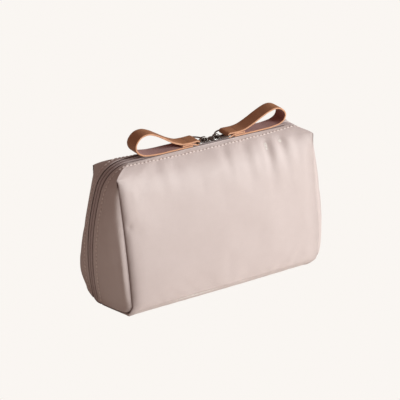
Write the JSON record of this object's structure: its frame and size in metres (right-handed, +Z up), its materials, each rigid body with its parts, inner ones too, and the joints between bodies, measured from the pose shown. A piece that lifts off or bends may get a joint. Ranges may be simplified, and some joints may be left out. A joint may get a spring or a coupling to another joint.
{
  "type": "zipped makeup bag",
  "caption": "Soft padded makeup bag with a zip that runs over the top and down the sides, sliders with leather pull loops, and two halves that open like a book.",
  "frame": {"origin": "on the surface the bag stands on, under the middle of its base", "axes": "+X along the zip towards the viewer's right, -Y out of the front, +Z up"},
  "size_m": [0.2236, 0.0772, 0.1438],
  "materials": {
    "outer_fabric": "satin nylon",
    "padding": "soft foam wadding",
    "lining_fabric": "smooth lining",
    "zip_tape": "woven tape",
    "zip_coil": "nylon coil",
    "thread": "polyester thread",
    "binding": "grosgrain binding",
    "metal": "gunmetal plating",
    "leather": "smooth leather, raw edges",
    "strap_thread": "waxed thread"
  },
  "bodies": {
    "back_half": {"back_shell": "outer_fabric", "back_padding": "padding", "back_lining": "lining_fabric", "back_zip_tape": "zip_tape", "back_zip_coil": "zip_coil", "back_topstitch": "thread", "back_seam_binding": "binding", "base_seam_binding": "binding", "left_end_stop": "metal", "right_end_stop": "metal"},
    "front_half": {"front_shell": "outer_fabric", "front_padding": "padding", "front_lining": "lining_fabric", "front_zip_tape": "zip_tape", "front_zip_coil": "zip_coil", "front_topstitch": "thread", "front_seam_binding": "binding"},
    "left_slider": {"left_slider": "metal"},
    "left_ring": {"left_pull_ring": "metal"},
    "left_strap": {"left_pull_strap": "leather", "left_strap_stitching": "strap_thread"},
    "right_slider": {"right_slider": "metal"},
    "right_ring": {"right_pull_ring": "metal"},
    "right_strap": {"right_pull_strap": "leather", "right_strap_stitching": "strap_thread"}
  },
  "joints": [
    {"name": "front_half_hinge", "type": "hinge", "parent": "back_half", "child": "front_half", "pos_m": [0, 0, 0], "axis": [1, 0, 0], "range_deg": [0, 95]},
    {"name": "left_slider_slide", "type": "slide", "parent": "back_half", "child": "left_slider", "axis": [-1, 0, 0], "range_m": [0, 0.064]},
    {"name": "left_ring_hinge", "type": "hinge", "parent": "left_slider", "child": "left_ring", "pos_m": [-0.0022, 0, 0.125], "axis": [0, 1, 0], "range_deg": [0, 45]},
    {"name": "left_strap_hinge", "type": "hinge", "parent": "left_ring", "child": "left_strap", "pos_m": [-0.0117, 0, 0.12575], "axis": [0, 1, 0], "range_deg": [0, 30]},
    {"name": "right_slider_slide", "type": "slide", "parent": "back_half", "child": "right_slider", "axis": [1, 0, 0], "range_m": [0, 0.058]},
    {"name": "right_ring_hinge", "type": "hinge", "parent": "right_slider", "child": "right_ring", "pos_m": [0.0102, 0, 0.125], "axis": [0, -1, 0], "range_deg": [0, 45]},
    {"name": "right_strap_hinge", "type": "hinge", "parent": "right_ring", "child": "right_strap", "pos_m": [0.0197, 0, 0.12575], "axis": [0, -1, 0], "range_deg": [0, 30]}
  ]
}
